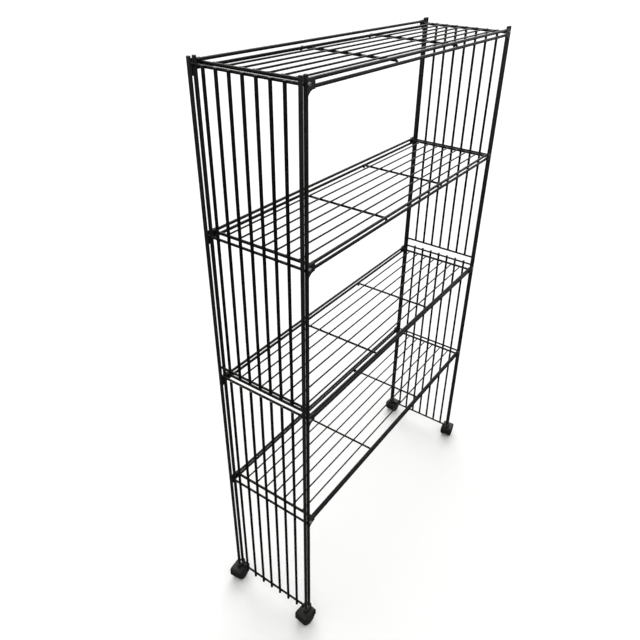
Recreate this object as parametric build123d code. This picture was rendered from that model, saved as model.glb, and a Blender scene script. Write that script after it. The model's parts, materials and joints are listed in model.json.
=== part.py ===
"""Wire plant trolley: four wire shelves between two wire end panels, on four small twin-wheel casters.

Millimetres. X runs along the shelves, -Y is the front, +Z is up.
The origin is on the floor, at the middle of the footprint.
"""
import os

from build123d import *

# Stock
POST = 8.0                  # diameter of the posts
RAIL = 6.8                  # diameter of the shelf and end rails
PANEL_WIRE = 6.8
DECK_WIRE = 4.0
CROSS_WIRE = 5.5
WELD = 0.2                  # how far two welded pieces sink into each other
POST_R = POST / 2
RAIL_R = RAIL / 2
DECK_WIRE_R = DECK_WIRE / 2
CROSS_WIRE_R = CROSS_WIRE / 2

# Frame
FRAME_LENGTH = 908.0        # between the outer posts' axes, along X
FRAME_DEPTH = 246.0         # between the front and back posts' axes, along Y
POST_PAIR = 13.5            # from an outer post's axis to its inner post's axis
POST_TOP = 1460.5
POST_END_CHAMFER = 0.6
POST_X = FRAME_LENGTH / 2
INNER_POST_X = POST_X - POST_PAIR
POST_Y = FRAME_DEPTH / 2

# Shelves
SHELF_LEVELS = {1: 1452.0, 2: 1120.0, 3: 745.6, 4: 409.0}   # axis height of the upper rails
RAIL_SPACING = 12.3         # from an upper rail down to its lower rail
RAIL_END_GAP = 1.6          # between a shelf rail's end and the inner post
SHELF_RAIL_Y = POST_Y + POST_R - RAIL_R + WELD      # so that the brackets on the rails just meet the posts
DECK_DROP = 3.5             # of the deck wires' axes below the upper rails'
END_RAIL_DROP = 4.6         # of the end rails' axes below the upper rails'
DECK_WIRES = 7
DECK_PITCH = FRAME_DEPTH / (DECK_WIRES + 1)
END_RAIL_X = POST_X - 28.0
END_RAIL_REACH = POST_Y - 1.8
DECK_WIRE_REACH = END_RAIL_X - RAIL_R + 0.8     # its end is welded into the end rail's side
CROSS_WIRE_X = 139.0
CROSS_WIRE_BEND = 4.0

# End panels
PANEL_RAIL = POST_PAIR - POST + 2 * WELD        # diameter of the rails, which pass between two posts
PANEL_RAIL_R = PANEL_RAIL / 2
PANEL_RAIL_X = (POST_X + INNER_POST_X) / 2
PANEL_WIRE_X = PANEL_RAIL_X + PANEL_RAIL_R + PANEL_WIRE / 2 - WELD
PANEL_WIRES = 7
PANEL_PITCH = 30.2
PANEL_RAIL_PAST_POST = 1.5
PANEL_WIRE_NUB = 0.25               # of a wire past the last rail
UPPER_PANEL_FOOT = 775.6            # the upper wires end on this rail
LOWER_PANEL_HEAD = 748.8            # the lower wires start from this rail
BOTTOM_RAIL = 46.6

# Corner brackets, screwed to the inner posts
BRACKET_THICKNESS = 1.6
BRACKET_REACH = 32.0        # from the outer post's axis, along the rails
BRACKET_DROP = 11.2         # below the lower rail's underside
BRACKET_CORNER = 1.2
GUSSET_TOP = 27.0
GUSSET_FOOT = POST_PAIR - 1.5
GUSSET_SWEEP = 17.0         # radius of its hollow edge
SCREW_D = 4.0
SCREW_HOLE = 4.3            # in the bracket and the washer
TAPPED_DEPTH = 6.5          # of the blind hole in the post
SCREW_HEAD = (7.6, 2.5)     # diameter and height
SCREW_RECESS = (1.1, 3.8, 1.3)      # width, length and depth of the cross recess
SCREW_LENGTH = 8.0
WASHER = (8.0, 0.8)         # diameter and thickness

# Casters
WHEEL_R = 20.0
WHEEL_WIDTH = 12.0
WHEEL_GAP = 0.6             # between a wheel and the web
WHEEL_ROUNDING = 2.0
WHEEL_RIM = 4.5
WHEEL_FACE = 3.5
HUB_R = 6.0
CAP_GROOVE = (13.0, 14.4, 0.9)      # inner radius, outer radius and depth
AXLE_D = 5.0
AXLE_CLEARANCE = 0.05
TRAIL = 8.0                 # from the swivel axis to the axle
CASTER_TURN = 6.0           # how far each caster stands off the X direction
WEB_THICKNESS = 11.0
WEB_R = 15.0
HOOD_GAP = 0.8
HOOD_THICKNESS = 2.2        # at the thinnest, over the wheels
HOOD_CORNER = 8.0
HOOD_LIP = 3.0              # how far the hood's ends reach below the axle
STEM_D = 6.0
STEM_CLEARANCE = 0.05
STEM_FOOT = 30.0
FLANGE_GAP = 0.3
FLANGE_ACROSS_FLATS = 11.0
FLANGE_THICKNESS = 1.3
THREAD_END_GAP = 0.3        # from the stem's top down from the posts' feet

# Caster sockets
SOCKET_BLOCK = (28.0, 14.0, 7.0)
HOOD_TOP = 2 * WHEEL_R + HOOD_GAP + HOOD_THICKNESS
SOCKET_Z = HOOD_TOP + FLANGE_GAP + FLANGE_THICKNESS
POST_FOOT = SOCKET_Z + SOCKET_BLOCK[2]

SIDES = {"left": -1, "right": 1}
FACES = {"front": -1, "back": 1}


def rod(start, end, diameter):
    """A straight round rod between two points."""
    run = Vector(*end) - Vector(*start)
    return Solid.make_cylinder(diameter / 2, run.length, Plane(origin=start, z_dir=run))


def save(name, solids):
    """Write one sub-part, which may be several like solids."""
    os.makedirs("parts", exist_ok=True)
    shape = solids[0] if len(solids) == 1 else Compound(children=solids)
    export_step(shape, f"parts/{name}.step")


def lower_rail(level):
    return level - RAIL_SPACING


# ---------------------------------------------------------------- posts and end panels

def post(x, y):
    """A full-height post with a lightly broken top edge."""
    shaft = rod((x, y, POST_FOOT), (x, y, POST_TOP), POST)
    return chamfer(shaft.edges().sort_by(Axis.Z)[-1], POST_END_CHAMFER)


def screw_height(level):
    """Height of the bracket's screw at a shelf, midway between its two rails."""
    return level - RAIL_SPACING / 2


def tapped_post(x, y):
    """An inner post with a blind tapped hole in its outer side for the screw at each shelf."""
    outward = 1 if y > 0 else -1
    shaft = post(x, y)
    mouth = y + outward * (POST_R + 1.0)
    for level in SHELF_LEVELS.values():
        z = screw_height(level)
        shaft -= rod((x, mouth, z), (x, y + outward * (POST_R - TAPPED_DEPTH), z), SCREW_D)
    return shaft


def make_posts():
    for side, sx in SIDES.items():
        for name, x, make in (("outer", POST_X, post), ("inner", INNER_POST_X, tapped_post)):
            save(f"{side}_{name}_posts", [make(sx * x, sy * POST_Y).solid() for sy in FACES.values()])


def panel_rail_spans():
    """Height and half length of each rail: past the posts, or up to the caster sockets."""
    past_post = POST_Y + PANEL_RAIL_PAST_POST
    to_socket = POST_Y - SOCKET_BLOCK[1] / 2 + WELD
    heights = [screw_height(SHELF_LEVELS[n]) for n in (1, 2, 4)] + [UPPER_PANEL_FOOT, LOWER_PANEL_HEAD]
    return [(z, past_post) for z in heights] + [(BOTTOM_RAIL, to_socket)]


def make_panel_rails():
    for side, sx in SIDES.items():
        x = sx * PANEL_RAIL_X
        rails = [rod((x, -y, z), (x, y, z), PANEL_RAIL) for z, y in panel_rail_spans()]
        save(f"{side}_panel_rails", rails)


def make_panel_wires():
    top = screw_height(SHELF_LEVELS[1])
    spans = {
        "upper": (UPPER_PANEL_FOOT - PANEL_RAIL_R, top + PANEL_RAIL_R),
        "lower": (BOTTOM_RAIL - PANEL_RAIL_R - PANEL_WIRE_NUB, LOWER_PANEL_HEAD + PANEL_RAIL_R),
    }
    for side, sx in SIDES.items():
        x = sx * PANEL_WIRE_X
        for section, (low, high) in spans.items():
            wires = []
            for i in range(PANEL_WIRES):
                y = (i - (PANEL_WIRES - 1) / 2) * PANEL_PITCH
                wires.append(rod((x, y, low), (x, y, high), PANEL_WIRE))
            save(f"{side}_{section}_panel_wires", wires)


# ---------------------------------------------------------------- shelves

def shelf_rails(level, y):
    """The upper and lower rail along one long side."""
    reach = INNER_POST_X - POST_R - RAIL_END_GAP
    return [rod((-reach, y, z), (reach, y, z), RAIL) for z in (level, lower_rail(level))]


def deck_wires(level):
    reach, z = DECK_WIRE_REACH, level - DECK_DROP
    wires = []
    for i in range(DECK_WIRES):
        y = (i - (DECK_WIRES - 1) / 2) * DECK_PITCH
        wires.append(rod((-reach, y, z), (reach, y, z), DECK_WIRE))
    return wires


def end_rails(level):
    """One rail across each end, welded to the inner sides of the upper rails."""
    reach, z = END_RAIL_REACH, level - END_RAIL_DROP
    return [rod((x, -reach, z), (x, reach, z), RAIL) for x in (-END_RAIL_X, END_RAIL_X)]


def cross_wire(x, level):
    """A wire under the deck whose ends turn down behind the lower rails."""
    leg_y = SHELF_RAIL_Y - RAIL_R - CROSS_WIRE_R + WELD
    top = level - DECK_DROP - DECK_WIRE_R - CROSS_WIRE_R + WELD
    foot = lower_rail(level) - RAIL_R
    route = FilletPolyline(
        (x, -leg_y, foot), (x, -leg_y, top), (x, leg_y, top), (x, leg_y, foot), radius=CROSS_WIRE_BEND
    )
    section = Plane(origin=(x, -leg_y, foot), z_dir=(0, 0, 1)) * Circle(CROSS_WIRE_R)
    return sweep(section, path=route).solid()


def bracket(sx, sy, level):
    """A pressed plate over the inner post and the ends of both rails, with a gusset down the post."""
    top = level + RAIL_R
    rail_foot = lower_rail(level) - RAIL_R
    foot = rail_foot - BRACKET_DROP
    left = POST_PAIR - POST_R
    outline = make_face(
        [
            Line((left, foot), (left, top)),
            Line((left, top), (BRACKET_REACH, top)),
            Line((BRACKET_REACH, top), (BRACKET_REACH, rail_foot)),
            Line((BRACKET_REACH, rail_foot), (GUSSET_TOP, rail_foot)),
            RadiusArc((GUSSET_TOP, rail_foot), (GUSSET_FOOT, foot), -GUSSET_SWEEP),
            Line((GUSSET_FOOT, foot), (left, foot)),
        ]
    )
    outline = fillet(outline.vertices().group_by(Axis.X)[0], BRACKET_CORNER)
    outline = fillet(outline.vertices().group_by(Axis.X)[-1], BRACKET_CORNER)
    outline -= Pos(POST_PAIR, screw_height(level)) * Circle(SCREW_HOLE / 2)
    back_face = POST_Y + POST_R
    frame = Plane(origin=(-POST_X, -back_face, 0), x_dir=(1, 0, 0), z_dir=(0, -1, 0))
    return place_at_corner((frame * extrude(outline, BRACKET_THICKNESS)).solid(), sx, sy)


def place_at_corner(shape, sx, sy):
    """Mirror a shape made at the front left corner to another corner."""
    if sx > 0:
        shape = mirror(shape, about=Plane.YZ)
    if sy > 0:
        shape = mirror(shape, about=Plane.XZ)
    return shape.solid()


def corners():
    return [(sx, sy) for sx in SIDES.values() for sy in FACES.values()]


def make_shelf(number, level):
    name = f"shelf_{number}"
    save(f"{name}_front_rails", shelf_rails(level, -SHELF_RAIL_Y))
    save(f"{name}_back_rails", shelf_rails(level, SHELF_RAIL_Y))
    save(f"{name}_end_rails", end_rails(level))
    save(f"{name}_deck_wires", deck_wires(level))
    save(f"{name}_cross_wires", [cross_wire(x, level) for x in (-CROSS_WIRE_X, CROSS_WIRE_X)])
    save(f"{name}_corner_brackets", [bracket(sx, sy, level) for sx, sy in corners()])


# ---------------------------------------------------------------- screw and washer at each shelf corner

def screw_place(level, lift):
    """On a screw's axis at the front left corner, z outwards, a distance off the bracket's outer face."""
    y = -POST_Y - POST_R - BRACKET_THICKNESS - lift
    return Plane(origin=(-INNER_POST_X, y, screw_height(level)), x_dir=(1, 0, 0), z_dir=(0, -1, 0))


def bracket_screw(level):
    """A pan-head screw with a cross recess, through the washer and the bracket into the post."""
    head_d, head_h = SCREW_HEAD
    slot_w, slot_l, slot_depth = SCREW_RECESS
    head = Pos(0, 0, head_h / 2) * Cylinder(head_d / 2, head_h)
    head = fillet(head.edges().sort_by(Axis.Z)[-1], head_h * 0.6)
    for turn in (0, 90):
        head -= Pos(0, 0, head_h - slot_depth / 2) * Rot(0, 0, turn) * Box(slot_l, slot_w, slot_depth)
    screw = head + Pos(0, 0, -SCREW_LENGTH / 2) * Cylinder(SCREW_D / 2, SCREW_LENGTH)
    return (screw_place(level, WASHER[1]) * screw).solid()


def bracket_washer(level):
    diameter, thickness = WASHER
    return (screw_place(level, 0) * extrude(Circle(diameter / 2) - Circle(SCREW_HOLE / 2), thickness)).solid()


def make_fixings():
    for name, shape in (("bracket_screws", bracket_screw), ("bracket_washers", bracket_washer)):
        solids = []
        for level in SHELF_LEVELS.values():
            solids += [place_at_corner(shape(level), sx, sy) for sx, sy in corners()]
        save(name, solids)


# ---------------------------------------------------------------- casters
# Each caster piece is made with its swivel axis on Z and its wheels trailing towards +X.

def wheel(side):
    """One wheel: a hollow disc with a hub tube, closed outside by a grooved face."""
    inner = WEB_THICKNESS / 2 + WHEEL_GAP
    outer = inner + WHEEL_WIDTH
    face = outer - WHEEL_FACE
    groove_in, groove_out, groove_depth = CAP_GROOVE
    bore = AXLE_D / 2
    hollow = WHEEL_R - WHEEL_RIM
    r = WHEEL_ROUNDING
    outline = make_face(
        [
            Polyline(
                (bore, inner), (HUB_R, inner), (HUB_R, face), (hollow, face),
                (hollow, inner), (WHEEL_R - r, inner),
            ),
            RadiusArc((WHEEL_R - r, inner), (WHEEL_R, inner + r), -r),
            Line((WHEEL_R, inner + r), (WHEEL_R, outer - r)),
            RadiusArc((WHEEL_R, outer - r), (WHEEL_R - r, outer), -r),
            Polyline(
                (WHEEL_R - r, outer), (groove_out, outer), (groove_out, outer - groove_depth),
                (groove_in, outer - groove_depth), (groove_in, outer), (0, outer), (0, face),
                (bore, face), (bore, inner),
            ),
        ]
    )
    solid = revolve(Plane.XY * outline, Axis.Y)
    turned = Pos(TRAIL, 0, WHEEL_R) * (solid if side > 0 else mirror(solid, about=Plane.XZ))
    return turned.solid()


def axle():
    half = WEB_THICKNESS / 2 + WHEEL_GAP + WHEEL_WIDTH - WHEEL_FACE
    return rod((TRAIL, -half, WHEEL_R), (TRAIL, half, WHEEL_R), AXLE_D)


def housing():
    """A central web that takes the stem, under a flat-topped hood that covers both wheels."""
    half_width = WEB_THICKNESS / 2 + WHEEL_GAP + WHEEL_WIDTH
    hood_in = WHEEL_R + HOOD_GAP
    hood_out = HOOD_TOP - WHEEL_R
    outline = Pos(0, (hood_out - HOOD_LIP) / 2) * Rectangle(2 * hood_out, hood_out + HOOD_LIP)
    outline = fillet(outline.vertices().group_by(Axis.Y)[-1], HOOD_CORNER)
    side_view = Plane(origin=(TRAIL, 0, WHEEL_R), x_dir=(1, 0, 0), z_dir=(0, -1, 0))
    body = side_view * extrude(outline - Circle(hood_in), half_width, both=True)
    body += side_view * extrude(outline + Circle(WEB_R), WEB_THICKNESS / 2, both=True)
    body -= rod((TRAIL, -half_width, WHEEL_R), (TRAIL, half_width, WHEEL_R), AXLE_D + 2 * AXLE_CLEARANCE)
    bore_foot = STEM_FOOT - 1.0
    bore = rod((0, 0, bore_foot), (0, 0, HOOD_TOP + 1.0), STEM_D + 2 * STEM_CLEARANCE)
    return (body - bore).solid()


def stem():
    """A plain pin below, a hex flange, and a threaded end above."""
    flange_foot = HOOD_TOP + FLANGE_GAP
    flange = Pos(0, 0, flange_foot) * extrude(
        RegularPolygon(FLANGE_ACROSS_FLATS / 2, 6, major_radius=False), FLANGE_THICKNESS
    )
    shank = rod((0, 0, STEM_FOOT), (0, 0, POST_FOOT - THREAD_END_GAP), STEM_D)
    shank = chamfer(shank.edges().group_by(Axis.Z)[-1], POST_END_CHAMFER)
    return (flange + shank).solid()


def socket():
    """A block that both posts stand on, tapped for the stem."""
    length, width, height = SOCKET_BLOCK
    block = extrude(SlotOverall(length, width), height) - rod((0, 0, -1), (0, 0, height + 1), STEM_D)
    return (Pos(0, 0, SOCKET_Z) * block).solid()


def make_casters():
    sockets = []
    for face, sy in FACES.items():
        for side, sx in SIDES.items():
            stand = Pos(sx * PANEL_RAIL_X, sy * POST_Y, 0)
            heading = 0 if sx > 0 else 180
            turn = heading - sx * sy * CASTER_TURN
            place = stand * Rot(0, 0, turn)
            name = f"caster_{face}_{side}"
            save(f"{name}_stem", [stand * stem()])
            save(f"{name}_housing", [place * housing()])
            save(f"{name}_axle", [place * axle()])
            save(f"{name}_wheels", [place * wheel(-1), place * wheel(1)])
            sockets.append(stand * socket())
    save("caster_sockets", sockets)


make_posts()
make_panel_rails()
make_panel_wires()
for shelf_number, shelf_level in SHELF_LEVELS.items():
    make_shelf(shelf_number, shelf_level)
make_fixings()
make_casters()
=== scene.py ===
"""Looks for a black wire plant trolley: four wire shelves between two barred end panels, on four casters.

Metres, in the row frame: X runs along the shelves, -Y is the front, +Z is up.
"""
import json
import math
import random

import bmesh
import bpy
import numpy as np
from mathutils import Matrix, Vector


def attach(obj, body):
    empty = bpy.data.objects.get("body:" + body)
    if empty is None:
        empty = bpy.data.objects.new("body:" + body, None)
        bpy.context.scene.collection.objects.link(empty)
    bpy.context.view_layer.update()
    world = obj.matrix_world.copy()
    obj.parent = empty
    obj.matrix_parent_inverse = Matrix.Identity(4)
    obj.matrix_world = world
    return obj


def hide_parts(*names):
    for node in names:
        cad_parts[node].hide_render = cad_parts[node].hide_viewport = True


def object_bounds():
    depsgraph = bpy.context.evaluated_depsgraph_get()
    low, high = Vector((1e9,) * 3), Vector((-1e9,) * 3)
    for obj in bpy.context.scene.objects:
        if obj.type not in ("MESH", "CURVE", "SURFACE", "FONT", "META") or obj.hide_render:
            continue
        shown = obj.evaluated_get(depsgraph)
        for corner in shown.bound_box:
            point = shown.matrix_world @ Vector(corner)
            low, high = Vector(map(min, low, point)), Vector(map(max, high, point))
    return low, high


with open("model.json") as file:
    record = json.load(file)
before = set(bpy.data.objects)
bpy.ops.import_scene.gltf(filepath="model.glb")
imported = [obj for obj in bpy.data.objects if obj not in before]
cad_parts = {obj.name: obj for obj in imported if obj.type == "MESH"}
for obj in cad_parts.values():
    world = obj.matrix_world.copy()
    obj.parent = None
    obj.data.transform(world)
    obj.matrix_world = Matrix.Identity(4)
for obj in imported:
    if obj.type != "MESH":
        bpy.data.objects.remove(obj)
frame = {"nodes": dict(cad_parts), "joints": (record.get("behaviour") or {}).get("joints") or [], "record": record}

CAD_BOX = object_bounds()
MM = 0.001
SEED = 7

X, Y, Z = range(3)
SIDES = ("left", "right")
FACES = ("front", "back")
SHELVES = (1, 2, 3, 4)
CASTERS = [(face, side) for face in FACES for side in SIDES]

# Welds
FILLET_GAP = 0.75 * MM          # height of the weld metal between two rods where it ends
FILLET_SINK = 0.05 * MM         # how far its edge lies under the rods' surfaces
FILLET_STEPS = 20               # points round one weld
FILLET_HOLLOW = 0.42            # how far its surface curves in, as a share of its gap
FILLET_CORE = 0.55              # its hidden inner edge, as a share of its reach
FILLET_BITE = 0.25 * MM         # how far that inner edge lies inside the rods
EDGE_HALVINGS = 24              # steps of the search for its edge
TOUCH_GAP = 0.3 * MM            # widest gap between two rods that are still welded
TOUCH_SLACK = 0.5 * MM          # how far past its own end a rod is still welded to another
RING_LEG = 0.85 * MM            # leg of the weld round a rail's end
RING_ROOT = 1.3 * MM            # how far that weld runs in behind the face
RING_CORE = 0.4 * MM            # how far its hidden inner edge lies inside the rail
DECK_END_SINK = 0.4 * MM        # from an end rail's inner side to the welds of the deck wires
END_RAIL_TOE = 0.6 * MM         # from the upper rails' inner sides to the welds of the end rails
SEAM_GAP = 0.9 * MM             # width of a straight seam at its mouth
SEAM_PITCH = 1.5 * MM           # between the sections of a straight seam
SEAM_BACK = 1.4 * MM            # how far it runs in between rail and bracket
SEAM_ENDS = (0.6 * MM, 0.8 * MM)    # left bare at its two ends
SEAM_SIDE = 2.5 * MM            # how far over or under its rail's axis it lies
BRACKET_EDGE = 2.5 * MM         # no seam this close to a bracket's top edge
NO_LIMIT = -1.0                 # a height below everything

# Caster details
WHEEL_R = 20.0 * MM
HUB_R = 12.7 * MM
HUB_DOME = 0.7 * MM
HUB_RIB = 0.35 * MM
HUB_RIBS = 5
HUB_BOSS = 0.3                  # radius of its flat middle, as a share of the cap's
HUB_RIM = 0.88                  # where its ribs end, likewise
HUB_BACK = 0.6 * MM             # how deep the cap is set into the wheel
HUB_RINGS = 10
HUB_STEPS = 60
RIDGE_STEPS = 96
RIDGE = ((-0.3, -0.35), (0.0, -0.25), (0.12, 0.0), (0.0, 0.25), (-0.3, 0.35))   # outward and across, mm

# Rounded rod ends
END_LENGTH = 0.55 * MM
END_RISE = 0.2 * MM
END_EDGE = 0.4 * MM             # radius of the soft edge
END_STEPS = 24

# Camera, as it stood for the photograph
EYE = Vector((-1.2285, -0.7213, 1.6451))
YAW = math.radians(32.205)
PITCH = math.radians(-31.344)
ROLL = math.radians(2.272)
LENS = 33.62
SENSOR = 36.0
SHIFT = (-0.0496, -0.0276)

# The set
FLOOR_RADIUS = 60.0
FLOOR_DROP = 0.2 * MM           # of the floor below the wheels
GROUND_LEVEL = (0.40, 0.10)     # the sky's lower half: place on the way from nadir to zenith, and grey
HORIZON_LEVEL = (0.495, 0.97)
SKY_LEVELS = ((0.58, 0.90), (0.66, 0.62), (0.80, 0.38), (1.0, 0.30))
PANELS = (                      # name, direction, angular width in degrees, strength
    ("right_panel", (0.79, 0.25, 0.56), 30.0, 0.9),
    ("back_panel", (0.48, 0.62, 0.62), 30.0, 0.7),
    ("ceiling_panel", (-0.10, -0.15, 1.0), 100.0, 1.5),
)


# ---------------------------------------------------------------- reading the frame

class Rod:
    """A straight round solid along X, Y or Z, read from its vertices."""

    def __init__(self, points):
        self.low, self.high = points.min(0), points.max(0)
        size = self.high - self.low
        self.along = int(size.argmax())
        self.centre = (self.low + self.high) / 2
        self.radius = sorted(size)[1] / 2


def solids(node):
    """The vertices of each separate solid of a CAD node."""
    mesh = frame["nodes"][node].data
    points = np.array([v.co for v in mesh.vertices])
    spots, spot = np.unique(np.round(points, 6), axis=0, return_inverse=True)
    edges = spot.ravel()[np.array([e.vertices[:] for e in mesh.edges])]
    label = np.arange(len(spots))
    while True:
        low = label.copy()
        np.minimum.at(low, edges[:, 0], label[edges[:, 1]])
        np.minimum.at(low, edges[:, 1], label[edges[:, 0]])
        low = low[low]
        if (low == label).all():
            break
        label = low
    return [spots[label == k] for k in np.unique(label)]


def rods(*nodes):
    """The rods of one or more CAD nodes."""
    return [Rod(points) for node in nodes for points in solids(node)]


def ends_and_top(points):
    """A bent cross wire as three rods: its two legs and the run between them."""
    low, high = points.min(0), points.max(0)
    width = high[X] - low[X]
    band = width * 1.01
    middle = (low[Y] + high[Y]) / 2
    leg_front = points[points[:, Y] < low[Y] + band]
    leg_back = points[points[:, Y] > high[Y] - band]
    between = abs(points[:, Y] - middle) < (high[Y] - middle) * 0.97
    run = points[(points[:, Z] > high[Z] - band) & between]
    return [Rod(leg_front), Rod(leg_back), Rod(run)]


# ---------------------------------------------------------------- materials

class Nodes:
    """Adds shader nodes with few words."""

    def __init__(self, name):
        self.material = bpy.data.materials.new(name)
        self.material.use_nodes = True
        self.tree = self.material.node_tree
        self.shader = self.tree.nodes["Principled BSDF"]
        self.position = self.new("ShaderNodeTexCoord").outputs["Object"]

    def new(self, kind, **settings):
        node = self.tree.nodes.new(kind)
        for key, value in settings.items():
            setattr(node, key, value)
        return node

    def link(self, source, target):
        self.tree.links.new(source, target)

    def noise(self, scale, detail=3.0, roughness=0.5, stretch=None):
        node = self.new("ShaderNodeTexNoise")
        node.inputs["Scale"].default_value = scale
        node.inputs["Detail"].default_value = detail
        node.inputs["Roughness"].default_value = roughness
        if stretch:
            mapping = self.new("ShaderNodeMapping")
            mapping.inputs["Scale"].default_value = stretch
            self.link(self.position, mapping.inputs["Vector"])
            self.link(mapping.outputs["Vector"], node.inputs["Vector"])
        else:
            self.link(self.position, node.inputs["Vector"])
        return node.outputs["Fac"]

    def ramp(self, value, low, high, start=0.0, end=1.0):
        """Value from low to high becomes start to end, held at both ends."""
        node = self.new("ShaderNodeMapRange", interpolation_type="SMOOTHSTEP")
        for key, number in (("From Min", low), ("From Max", high), ("To Min", start), ("To Max", end)):
            node.inputs[key].default_value = number
        self.link(value, node.inputs["Value"])
        return node.outputs["Result"]

    def maths(self, operation, a, b):
        node = self.new("ShaderNodeMath", operation=operation)
        for socket, value in zip(node.inputs, (a, b)):
            if isinstance(value, (int, float)):
                socket.default_value = value
            else:
                self.link(value, socket)
        return node.outputs[0]

    def mix(self, factor, a, b):
        node = self.new("ShaderNodeMix", data_type="RGBA")
        self.link(factor, node.inputs["Factor"])
        for socket, value in ((node.inputs[6], a), (node.inputs[7], b)):
            if isinstance(value, tuple):
                socket.default_value = (*value, 1.0)
            else:
                self.link(value, socket)
        return node.outputs[2]

    def bump(self, height, distance, strength=1.0, normal=None):
        node = self.new("ShaderNodeBump")
        node.inputs["Strength"].default_value = strength
        node.inputs["Distance"].default_value = distance
        self.link(height, node.inputs["Height"])
        if normal:
            self.link(normal, node.inputs["Normal"])
        return node.outputs["Normal"]

    def facing_up(self):
        """1 on surfaces that face the ceiling, 0 on sides and undersides."""
        split = self.new("ShaderNodeSeparateXYZ")
        self.link(self.new("ShaderNodeNewGeometry").outputs["Normal"], split.inputs[0])
        return self.ramp(split.outputs["Z"], 0.45, 0.98)

    def set(self, **values):
        for key, value in values.items():
            socket = self.shader.inputs[key.replace("_", " ")]
            if isinstance(value, (int, float)):
                socket.default_value = value
            else:
                self.link(value, socket)


def powder_coat(name, black, dust_amount, gloss, texture_scale=1100.0, specular=0.3):
    """Satin black powder coat: orange peel, uneven gloss, dust on top and small rubbed spots."""
    n = Nodes(name)
    cloud = n.noise(9.0, 4.0)
    shade = n.mix(n.ramp(cloud, 0.35, 0.65), black, tuple(c * 1.7 for c in black))
    speck = n.noise(420.0, 2.0)
    fine_dust = n.maths("MULTIPLY", n.ramp(speck, 0.42, 0.7), n.ramp(n.noise(26.0, 3.0), 0.35, 0.7))
    settled = n.maths("MULTIPLY", n.facing_up(), n.maths("ADD", 0.35, fine_dust))
    dust = n.maths("MULTIPLY", settled, dust_amount)
    dusty = n.mix(dust, shade, (0.10, 0.096, 0.085))
    rub_spots = n.ramp(n.noise(75.0, 5.0, 0.65), 0.66, 0.72)
    rubbed = n.maths("MULTIPLY", rub_spots, n.ramp(n.noise(6.0), 0.45, 0.6))
    colour = n.mix(rubbed, dusty, (0.045, 0.044, 0.041))
    roughness = n.maths("ADD", gloss, n.ramp(n.noise(34.0, 4.0), 0.3, 0.7, -0.06, 0.1))
    roughness = n.maths("ADD", roughness, n.maths("MULTIPLY", dust, 0.45))
    peel = n.bump(n.noise(texture_scale, 2.0), 0.05 * MM, 0.55)
    wave = n.bump(n.noise(150.0, 2.0), 0.12 * MM, 0.35, peel)
    n.set(Base_Color=colour, Roughness=roughness, Normal=wave, Specular_IOR_Level=specular)
    return n.material


def zinc_plate(name):
    """Bright zinc: fine drawn lines, patches of dulled plate and a little white bloom."""
    n = Nodes(name)
    patch = n.ramp(n.noise(120.0, 4.0), 0.35, 0.7)
    colour = n.mix(patch, (0.46, 0.47, 0.48), (0.28, 0.29, 0.29))
    bloom = n.ramp(n.noise(330.0, 3.0), 0.62, 0.74)
    colour = n.mix(bloom, colour, (0.56, 0.56, 0.54))
    roughness = n.ramp(n.noise(210.0, 3.0), 0.3, 0.7, 0.25, 0.45)
    lines = n.bump(n.noise(900.0, 2.0, stretch=(0.25, 3.0, 0.25)), 0.03 * MM, 0.5)
    n.set(Base_Color=colour, Roughness=roughness, Normal=lines, Metallic=1.0)
    return n.material


def nylon(name, black, roughness, scuffs):
    """Moulded black nylon: spark-eroded grain, faint flow marks and grey scuffs."""
    n = Nodes(name)
    flow = n.ramp(n.noise(45.0, 3.0, stretch=(1.0, 1.0, 0.35)), 0.3, 0.7)
    shade = n.mix(flow, black, tuple(c * 1.5 for c in black))
    streaks = n.ramp(n.noise(260.0, 5.0, 0.7), 0.52, 0.68)
    marks = n.maths("MULTIPLY", streaks, n.ramp(n.noise(60.0, 2.0), 0.4, 0.65))
    marks = n.maths("MULTIPLY", marks, scuffs)
    colour = n.mix(marks, shade, (0.17, 0.165, 0.155))
    rough = n.maths("ADD", roughness, n.maths("MULTIPLY", marks, 0.25))
    rough = n.maths("ADD", rough, n.ramp(n.noise(90.0), 0.3, 0.7, -0.05, 0.06))
    grain = n.bump(n.noise(1500.0, 2.0), 0.05 * MM, 0.6)
    n.set(Base_Color=colour, Roughness=rough, Normal=grain, Specular_IOR_Level=0.32)
    return n.material


def pale_floor(name):
    """A matt white floor with a faint unevenness."""
    n = Nodes(name)
    colour = n.mix(n.ramp(n.noise(1.3, 3.0), 0.3, 0.7), (0.93, 0.93, 0.92), (0.95, 0.95, 0.94))
    n.set(Base_Color=colour, Roughness=0.75, Normal=n.bump(n.noise(380.0), 0.1 * MM, 0.2))
    return n.material


MATERIALS = {
    "post_paint": powder_coat("satin_powder_coat_posts", (0.0105, 0.0112, 0.0100), 0.35, 0.30),
    "wire_paint": powder_coat("satin_powder_coat_wires", (0.0040, 0.0043, 0.0039), 0.08, 0.25, specular=0.17),
    "bracket_paint": powder_coat("satin_powder_coat_brackets", (0.0100, 0.0112, 0.0112), 0.4, 0.36, 800.0),
    "zinc": zinc_plate("bright_zinc"),
    "hood_plastic": nylon("moulded_nylon_hood", (0.0060, 0.0062, 0.0052), 0.50, 0.3),
    "wheel_plastic": nylon("moulded_nylon_wheel", (0.012, 0.012, 0.0115), 0.5, 0.8),
}


def paint_cad_nodes():
    """Each CAD node's packed material gives way to the procedural one of the same slot."""
    for part in frame["record"]["subparts"]:
        for material_slot in frame["nodes"][part["node"]].material_slots:
            material_slot.material = MATERIALS[part["material_slot"]]


# ---------------------------------------------------------------- making pieces

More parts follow.
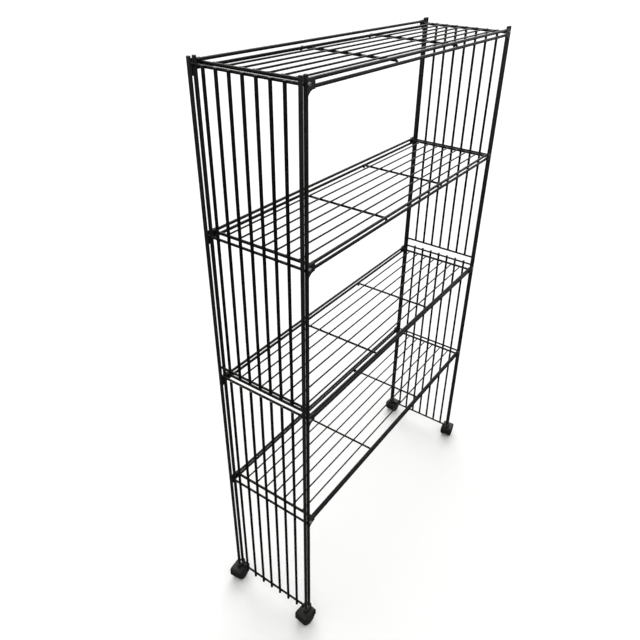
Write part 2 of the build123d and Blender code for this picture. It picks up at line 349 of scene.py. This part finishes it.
def piece(name, bm, slot, body, smooth=True):
    """A finished mesh as an object that rides on a CAD body."""
    bmesh.ops.recalc_face_normals(bm, faces=bm.faces)
    mesh = bpy.data.meshes.new(name)
    bm.to_mesh(mesh)
    bm.free()
    for face in mesh.polygons:
        face.use_smooth = smooth
    mesh.materials.append(MATERIALS[slot])
    made = bpy.data.objects.new(name, mesh)
    bpy.context.scene.collection.objects.link(made)
    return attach(made, body)


def rings_to_mesh(bm, rings, closed=True):
    """Skins a list of rings of points, with a fan to a point at each end when closed."""
    made = [[bm.verts.new(p) for p in ring] for ring in rings]
    count = len(rings[0])
    for lower, upper in zip(made, made[1:]):
        for i in range(count):
            j = (i + 1) % count
            bm.faces.new((lower[i], lower[j], upper[j], upper[i]))
    if closed:
        for ring in (made[0], made[-1]):
            middle = bm.verts.new(sum((v.co for v in ring), Vector()) / count)
            for i in range(count):
                bm.faces.new((ring[i], ring[(i + 1) % count], middle))


# ---------------------------------------------------------------- welds

def half_height(radius, offset):
    """Height of a rod's surface over its axis plane, at a sideways offset."""
    return math.sqrt(max(radius * radius - offset * offset, 0.0))


def touching(a, b):
    """The axis across which two perpendicular rods touch, or None."""
    if a.along == b.along:
        return None
    across = 3 - a.along - b.along
    distance = abs(a.centre[across] - b.centre[across])
    reach = a.radius + b.radius
    if not 0.3 * reach < distance < reach + TOUCH_GAP:
        return None
    on_a = a.low[a.along] - TOUCH_SLACK < b.centre[a.along] < a.high[a.along] + TOUCH_SLACK
    on_b = b.low[b.along] - TOUCH_SLACK < a.centre[b.along] < b.high[b.along] + TOUCH_SLACK
    return across if on_a and on_b else None


def crossing_weld(bm, a, b, across, rng):
    """A small concave fillet all round the spot where two rods cross and touch."""
    distance = abs(b.centre[across] - a.centre[across])
    sign = 1.0 if b.centre[across] > a.centre[across] else -1.0
    phases = [rng.uniform(0, 2 * math.pi) for _ in range(2)]
    gap = FILLET_GAP * rng.uniform(0.85, 1.15)
    rings = [[] for _ in range(7)]
    for step in range(FILLET_STEPS):
        turn = 2 * math.pi * step / FILLET_STEPS
        c, s = math.cos(turn), math.sin(turn)
        near, far = 0.0, max(a.radius, b.radius) * 1.3
        for _ in range(EDGE_HALVINGS):
            middle = (near + far) / 2
            open_height = distance - half_height(a.radius, middle * s) - half_height(b.radius, middle * c)
            if open_height < gap:
                near = middle
            else:
                far = middle
        lumps = 1 + 0.05 * math.sin(2 * turn + phases[0]) + 0.04 * math.sin(3 * turn + phases[1])
        edge = near * lumps
        foot = half_height(a.radius, edge * s) - FILLET_SINK
        head = distance - half_height(b.radius, edge * c) + FILLET_SINK
        profile = [(edge * FILLET_CORE, foot - FILLET_BITE)]
        for t in (-1.0, -0.5, 0.0, 0.5, 1.0):
            hollow = FILLET_HOLLOW * gap * (1 - t * t)
            profile.append((edge - hollow, (foot + head) / 2 + t * (head - foot) / 2))
        profile.append((edge * FILLET_CORE, head + FILLET_BITE))
        for ring, (out, height) in zip(rings, profile):
            spot = [0.0, 0.0, 0.0]
            spot[a.along] = b.centre[a.along] + out * c
            spot[b.along] = a.centre[b.along] + out * s
            spot[across] = a.centre[across] + sign * height
            for rod in (a, b):
                spot[rod.along] = min(max(spot[rod.along], rod.low[rod.along]), rod.high[rod.along])
            ring.append(Vector(spot))
    rings_to_mesh(bm, rings)


def lathe(bm, centre, along, profile, steps=FILLET_STEPS, wobble=None, lowest=NO_LIMIT):
    """A solid of revolution about X, Y or Z, from (radius, place) points, cut off at a lowest height."""
    other = [k for k in range(3) if k != along]
    rings = []
    for radius, place in profile:
        ring = []
        for step in range(steps):
            turn = 2 * math.pi * step / steps
            r = radius * (wobble(turn) if wobble else 1.0)
            spot = list(centre)
            spot[along] = place
            spot[other[0]] += r * math.cos(turn)
            spot[other[1]] += r * math.sin(turn)
            spot[Z] = max(spot[Z], lowest)
            ring.append(Vector(spot))
        rings.append(ring)
    rings_to_mesh(bm, rings)


def ring_weld(bm, rail, face, lowest, rng):
    """A fillet round the end of a rail that butts on a flat face, cut off at the face's lower edge."""
    outward = 1.0 if face < rail.centre[rail.along] else -1.0
    leg = RING_LEG * rng.uniform(0.9, 1.1)
    phase = rng.uniform(0, 2 * math.pi)
    r = rail.radius
    core = r - RING_CORE
    profile = [(core, 1.5 * leg), (r + 0.02 * MM, 1.35 * leg), (r + 0.1 * leg, 0.6 * leg),
               (r + 0.45 * leg, 0.2 * leg), (r + leg, 0.0), (r + leg, -RING_ROOT), (core, -RING_ROOT)]
    lathe(
        bm, rail.centre, rail.along, [(radius, face + outward * out) for radius, out in profile],
        wobble=lambda turn: 1 + 0.02 * math.sin(2 * turn + phase), lowest=lowest,
    )


def seam(bm, section, along, start, end, rng):
    """A straight weld of one cross section, from start to end, tapered into its ends."""
    steps = max(int(abs(end - start) / SEAM_PITCH), 3)
    middle = sum((Vector(p) for p in section), Vector((0, 0))) / len(section)
    other = [k for k in range(3) if k != along]
    rings = []
    for i in range(steps + 1):
        swell = 0.25 if i in (0, steps) else rng.uniform(0.93, 1.07)
        ring = []
        for p in section:
            flat = middle + (Vector(p) - middle) * swell
            spot = [0.0, 0.0, 0.0]
            spot[along] = start + (end - start) * i / steps
            spot[other[0]], spot[other[1]] = flat
            ring.append(Vector(spot))
        rings.append(ring)
    rings_to_mesh(bm, rings)


def valley(gap, radius, depth):
    """Cross section of a seam between a rod and a flat face: (off the rod's axis plane, from the face)."""
    height = half_height(radius, depth - gap)
    rows = [(height, -0.1 * MM)]
    rows += [(height - 0.3 * gap * math.sin(math.pi * t), gap * t) for t in (0.0, 0.25, 0.5, 0.75, 1.0)]
    rows += [(height, gap + 0.1 * MM), (height - SEAM_BACK, gap * 0.8), (height - SEAM_BACK, -0.1 * MM)]
    return rows


def weld_piece(name, slot, pairs, rng):
    """All the welds between the rods of each pair of groups, as one mesh on the frame."""
    bm = bmesh.new()
    count = 0
    for group_a, group_b in pairs:
        for a in group_a:
            for b in group_b:
                across = touching(a, b)
                if across is not None:
                    crossing_weld(bm, a, b, across, rng)
                    count += 1
    print(f"{name}: {count} welds")
    return piece(name, bm, slot, "frame")


def bracket_seams(bm, rails, brackets, rng):
    """Seams along the rails' last stretch, where a bracket covers them."""
    for points in brackets:
        low, high = points.min(0), points.max(0)
        front = low[Y] < 0
        face = high[Y] if front else low[Y]
        inward = 1.0 if front else -1.0
        for rail in rails:
            if (rail.centre[Y] < 0) != front or not low[Z] < rail.centre[Z] < high[Z] + MM:
                continue
            start, end = max(low[X], rail.low[X]), min(high[X], rail.high[X])
            if end - start < MM:
                continue
            section = valley(SEAM_GAP, rail.radius, abs(rail.centre[Y] - face))
            for up in (1.0, -1.0):
                if rail.centre[Z] + up * SEAM_SIDE > high[Z] - BRACKET_EDGE:
                    continue
                flat = [(face + inward * out, rail.centre[Z] + up * height) for height, out in section]
                seam(bm, flat, X, start + SEAM_ENDS[0], end - SEAM_ENDS[1], rng)


def make_welds(rng):
    """The welds of both end panels and of every shelf."""
    for side in SIDES:
        posts = rods(f"{side}_outer_posts", f"{side}_inner_posts")
        panel_rails = rods(f"{side}_panel_rails")
        wires = rods(f"{side}_upper_panel_wires", f"{side}_lower_panel_wires")
        weld_piece(f"{side}_panel_welds", "wire_paint", [(panel_rails, wires), (panel_rails, posts)], rng)
        bm = bmesh.new()
        for rail in panel_rails:
            for points in solids("caster_sockets"):
                low, high = points.min(0), points.max(0)
                if low[Z] < rail.centre[Z] < high[Z] and low[X] < rail.centre[X] < high[X]:
                    ring_weld(bm, rail, high[Y] if high[Y] < 0 else low[Y], low[Z], rng)
        piece(f"{side}_socket_welds", bm, "post_paint", "frame")
    for n in SHELVES:
        rails = rods(f"shelf_{n}_front_rails", f"shelf_{n}_back_rails")
        ends = rods(f"shelf_{n}_end_rails")
        decks = rods(f"shelf_{n}_deck_wires")
        crosses = [part for points in solids(f"shelf_{n}_cross_wires") for part in ends_and_top(points)]
        weld_piece(f"shelf_{n}_welds", "wire_paint", [(crosses, decks), (crosses, rails)], rng)
        bm = bmesh.new()
        for wire in decks:
            for end in ends:
                inward = 1.0 if end.centre[X] < 0 else -1.0
                ring_weld(bm, wire, end.centre[X] + inward * (end.radius - DECK_END_SINK), NO_LIMIT, rng)
        toe = abs(rails[0].centre[Y]) - rails[0].radius + END_RAIL_TOE
        for end in ends:
            ring_weld(bm, end, -toe, NO_LIMIT, rng)
            ring_weld(bm, end, toe, NO_LIMIT, rng)
        piece(f"shelf_{n}_end_welds", bm, "wire_paint", "frame")
        bm = bmesh.new()
        bracket_seams(bm, rails, solids(f"shelf_{n}_corner_brackets"), rng)
        piece(f"shelf_{n}_bracket_seams", bm, "bracket_paint", "frame")


# ---------------------------------------------------------------- rounded ends of rods

def end_cap(bm, rod, at_high):
    """The coat's soft edge over one cut end of a rod."""
    end = rod.high[rod.along] if at_high else rod.low[rod.along]
    out = 1.0 if at_high else -1.0
    r = rod.radius
    profile = [(r - 0.3 * MM, -END_LENGTH), (r + 0.015 * MM, -END_LENGTH), (r + 0.02 * MM, -0.4 * END_EDGE)]
    for a in (0.35, 0.75, 1.15, math.pi / 2):
        profile.append((r - END_EDGE * (1 - math.cos(a)), END_RISE * math.sin(a)))
    profile += [(0.55 * r, END_RISE * 1.35), (0.15 * r, END_RISE * 1.5)]
    lathe(bm, rod.centre, rod.along, [(radius, end + out * place) for radius, place in profile], END_STEPS)


def make_end_caps():
    """Soft ends on the posts' tops and on every wire and rail whose end is bare."""
    for side in SIDES:
        bm = bmesh.new()
        for rod in rods(f"{side}_outer_posts", f"{side}_inner_posts"):
            end_cap(bm, rod, True)
        piece(f"{side}_post_tops", bm, "post_paint", "frame")
        bm = bmesh.new()
        for rod in rods(f"{side}_panel_rails", f"{side}_upper_panel_wires", f"{side}_lower_panel_wires"):
            end_cap(bm, rod, True)
            end_cap(bm, rod, False)
        piece(f"{side}_panel_wire_ends", bm, "wire_paint", "frame")
    for n in SHELVES:
        bm = bmesh.new()
        for rod in rods(f"shelf_{n}_front_rails", f"shelf_{n}_back_rails", f"shelf_{n}_end_rails"):
            end_cap(bm, rod, True)
            end_cap(bm, rod, False)
        for points in solids(f"shelf_{n}_cross_wires"):
            for leg in ends_and_top(points)[:2]:
                end_cap(bm, leg, False)
        piece(f"shelf_{n}_wire_ends", bm, "wire_paint", "frame")


# ---------------------------------------------------------------- rounded copies of plates and mouldings

def rounded(node, slot, body, width, segments=2, angle=35.0):
    """A copy of a CAD node whose sharp edges are broken, shown in its place."""
    bm = bmesh.new()
    bm.from_mesh(frame["nodes"][node].data)
    bmesh.ops.remove_doubles(bm, verts=bm.verts, dist=0.002 * MM)
    bmesh.ops.dissolve_limit(
        bm, angle_limit=math.radians(1.0), verts=bm.verts, edges=bm.edges, delimit={"NORMAL"}
    )
    made = piece(f"{node}_finished", bm, slot, body)
    bevel = made.modifiers.new("broken edges", "BEVEL")
    bevel.width = width
    bevel.segments = segments
    bevel.limit_method = "ANGLE"
    bevel.angle_limit = math.radians(angle)
    bevel.harden_normals = False
    bevel.use_clamp_overlap = True
    weighted = made.modifiers.new("even shading", "WEIGHTED_NORMAL")
    weighted.keep_sharp = True
    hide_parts(node)
    return made


def make_rounded_parts():
    """Brackets, washers, sockets, hoods and stems."""
    for n in SHELVES:
        rounded(f"shelf_{n}_corner_brackets", "bracket_paint", "frame", 0.3 * MM, 3)
    rounded("bracket_washers", "zinc", "frame", 0.15 * MM)
    rounded("caster_sockets", "bracket_paint", "frame", 0.6 * MM, 3)
    for face, side in CASTERS:
        rounded(f"caster_{face}_{side}_housing", "hood_plastic", f"{face}_{side}_swivel", 0.9 * MM, 3)
        rounded(f"caster_{face}_{side}_stem", "zinc", "frame", 0.2 * MM)


# ---------------------------------------------------------------- caster details

def add_turned(bm, part, direction, place):
    """Adds a part made about Z to a mesh, with its Z along the wheels' axle."""
    part.transform(Matrix.Translation(place) @ Vector(direction).to_track_quat("Z", "Y").to_matrix().to_4x4())
    mesh = bpy.data.meshes.new("part")
    part.to_mesh(mesh)
    part.free()
    bm.from_mesh(mesh)
    bpy.data.meshes.remove(mesh)


def hub_cap(bm, direction, centre):
    """A domed cap in the wheel's face, with shallow ribs, a flat boss and a rim."""
    rings = []
    for k in range(HUB_RINGS + 1):
        r = HUB_R * k / HUB_RINGS
        ring = []
        for step in range(HUB_STEPS):
            turn = 2 * math.pi * step / HUB_STEPS
            dome = HUB_DOME * (1 - (r / HUB_R) ** 2)
            rib = max(0.0, math.cos(HUB_RIBS * turn)) ** 6 * HUB_RIB
            rib *= min(r / HUB_R / HUB_BOSS, 1.0) * (r < HUB_RIM * HUB_R)
            boss = HUB_RIB if r < HUB_BOSS * HUB_R else 0.0
            ring.append(Vector((r * math.cos(turn), r * math.sin(turn), dome + max(rib, boss))))
        rings.append(ring)
    rings[0] = [Vector((0.3 * MM * v.x, 0.3 * MM * v.y, rings[1][0].z)) for v in rings[1]]
    back = [Vector((v.x, v.y, -HUB_BACK)) for v in rings[-1]]
    part = bmesh.new()
    rings_to_mesh(part, rings + [back])
    add_turned(bm, part, direction, centre)


def tread_ridge(bm, direction, centre, radius):
    """The fine mould line round the middle of a wheel's tread."""
    rings = [[] for _ in RIDGE]
    for step in range(RIDGE_STEPS):
        turn = 2 * math.pi * step / RIDGE_STEPS
        for ring, (out, across) in zip(rings, RIDGE):
            r = radius + out * MM
            ring.append(Vector((r * math.cos(turn), r * math.sin(turn), across * MM)))
    part = bmesh.new()
    rings_to_mesh(part, rings, closed=False)
    add_turned(bm, part, direction, centre)


def make_wheel_details():
    """A cap in each wheel's face and a mould line round its tread."""
    for face, side in CASTERS:
        joint = next(j for j in frame["joints"] if j["name"] == f"{face}_{side}_roll")
        axis, hub = Vector(joint["axis"]).normalized(), Vector(joint["pos_m"])
        bm = bmesh.new()
        for points in solids(f"caster_{face}_{side}_wheels"):
            reach = [Vector(p).dot(axis) for p in points]
            middle = (min(reach) + max(reach)) / 2
            outward = 1.0 if middle > hub.dot(axis) else -1.0
            face_place = max(reach) if outward > 0 else min(reach)
            hub_cap(bm, axis * outward, hub + axis * (face_place - hub.dot(axis)))
            tread_ridge(bm, axis, hub + axis * (middle - hub.dot(axis)), WHEEL_R)
        piece(f"caster_{face}_{side}_wheel_caps", bm, "wheel_plastic", f"{face}_{side}_wheels")


# ---------------------------------------------------------------- the set: floor, light and camera

def make_floor():
    """A wide white disc just under the wheels."""
    bm = bmesh.new()
    bmesh.ops.create_circle(bm, cap_ends=True, segments=96, radius=FLOOR_RADIUS)
    mesh = bpy.data.meshes.new("floor")
    bm.to_mesh(mesh)
    bm.free()
    mesh.materials.append(pale_floor("pale_floor"))
    floor = bpy.data.objects.new("floor", mesh)
    floor.location = (0.0, 0.0, CAD_BOX[0].z - FLOOR_DROP)
    floor.visible_glossy = False
    floor.visible_diffuse = False
    bpy.context.scene.collection.objects.link(floor)


def make_world():
    """A pale studio wall round the horizon that falls off overhead, over a dark lower half."""
    world = bpy.data.worlds.new("studio")
    bpy.context.scene.world = world
    world.use_nodes = True
    tree = world.node_tree
    background = tree.nodes["Background"]
    split = tree.nodes.new("ShaderNodeSeparateXYZ")
    tree.links.new(tree.nodes.new("ShaderNodeTexCoord").outputs["Generated"], split.inputs[0])
    ramp = tree.nodes.new("ShaderNodeValToRGB")
    shift = tree.nodes.new("ShaderNodeMapRange")
    shift.inputs["From Min"].default_value = -1.0
    tree.links.new(split.outputs["Z"], shift.inputs["Value"])
    tree.links.new(shift.outputs["Result"], ramp.inputs["Fac"])
    stops = ramp.color_ramp.elements
    for stop, (position, level) in zip(stops, (GROUND_LEVEL, HORIZON_LEVEL)):
        stop.position = position
        stop.color = (level, level, level, 1.0)
    for position, level in SKY_LEVELS:
        stops.new(position).color = (level, level, level, 1.0)
    tree.links.new(ramp.outputs["Color"], background.inputs["Color"])


def make_lights():
    """Soft distant panels: two behind on the right, whose light runs along the wires, and one overhead."""
    for name, towards, width, strength in PANELS:
        light = bpy.data.lights.new(name, "SUN")
        light.angle = math.radians(width)
        light.energy = strength
        lamp = bpy.data.objects.new(name, light)
        lamp.rotation_euler = Vector(towards).to_track_quat("Z", "Y").to_euler()
        bpy.context.scene.collection.objects.link(lamp)


def make_camera():
    """The camera at its place for the photograph, with its aim, roll and framing."""
    forward = Vector((math.cos(PITCH) * math.cos(YAW), math.cos(PITCH) * math.sin(YAW), math.sin(PITCH)))
    level = forward.cross(Vector((0, 0, 1))).normalized()
    upright = level.cross(forward)
    right = math.cos(ROLL) * level + math.sin(ROLL) * upright
    up = right.cross(forward)
    data = bpy.data.cameras.new("camera")
    data.lens = LENS
    data.sensor_width = SENSOR
    data.shift_x, data.shift_y = SHIFT
    data.clip_start, data.clip_end = 0.02, 200.0
    camera = bpy.data.objects.new("camera", data)
    turn = Matrix((right, up, -forward)).transposed()
    camera.matrix_world = Matrix.Translation(EYE) @ turn.to_4x4()
    bpy.context.scene.collection.objects.link(camera)
    bpy.context.scene.camera = camera


bpy.context.scene.view_settings.view_transform = "Standard"
paint_cad_nodes()
make_welds(random.Random(SEED))
make_end_caps()
make_rounded_parts()
make_wheel_details()
make_floor()
make_world()
make_lights()
make_camera()
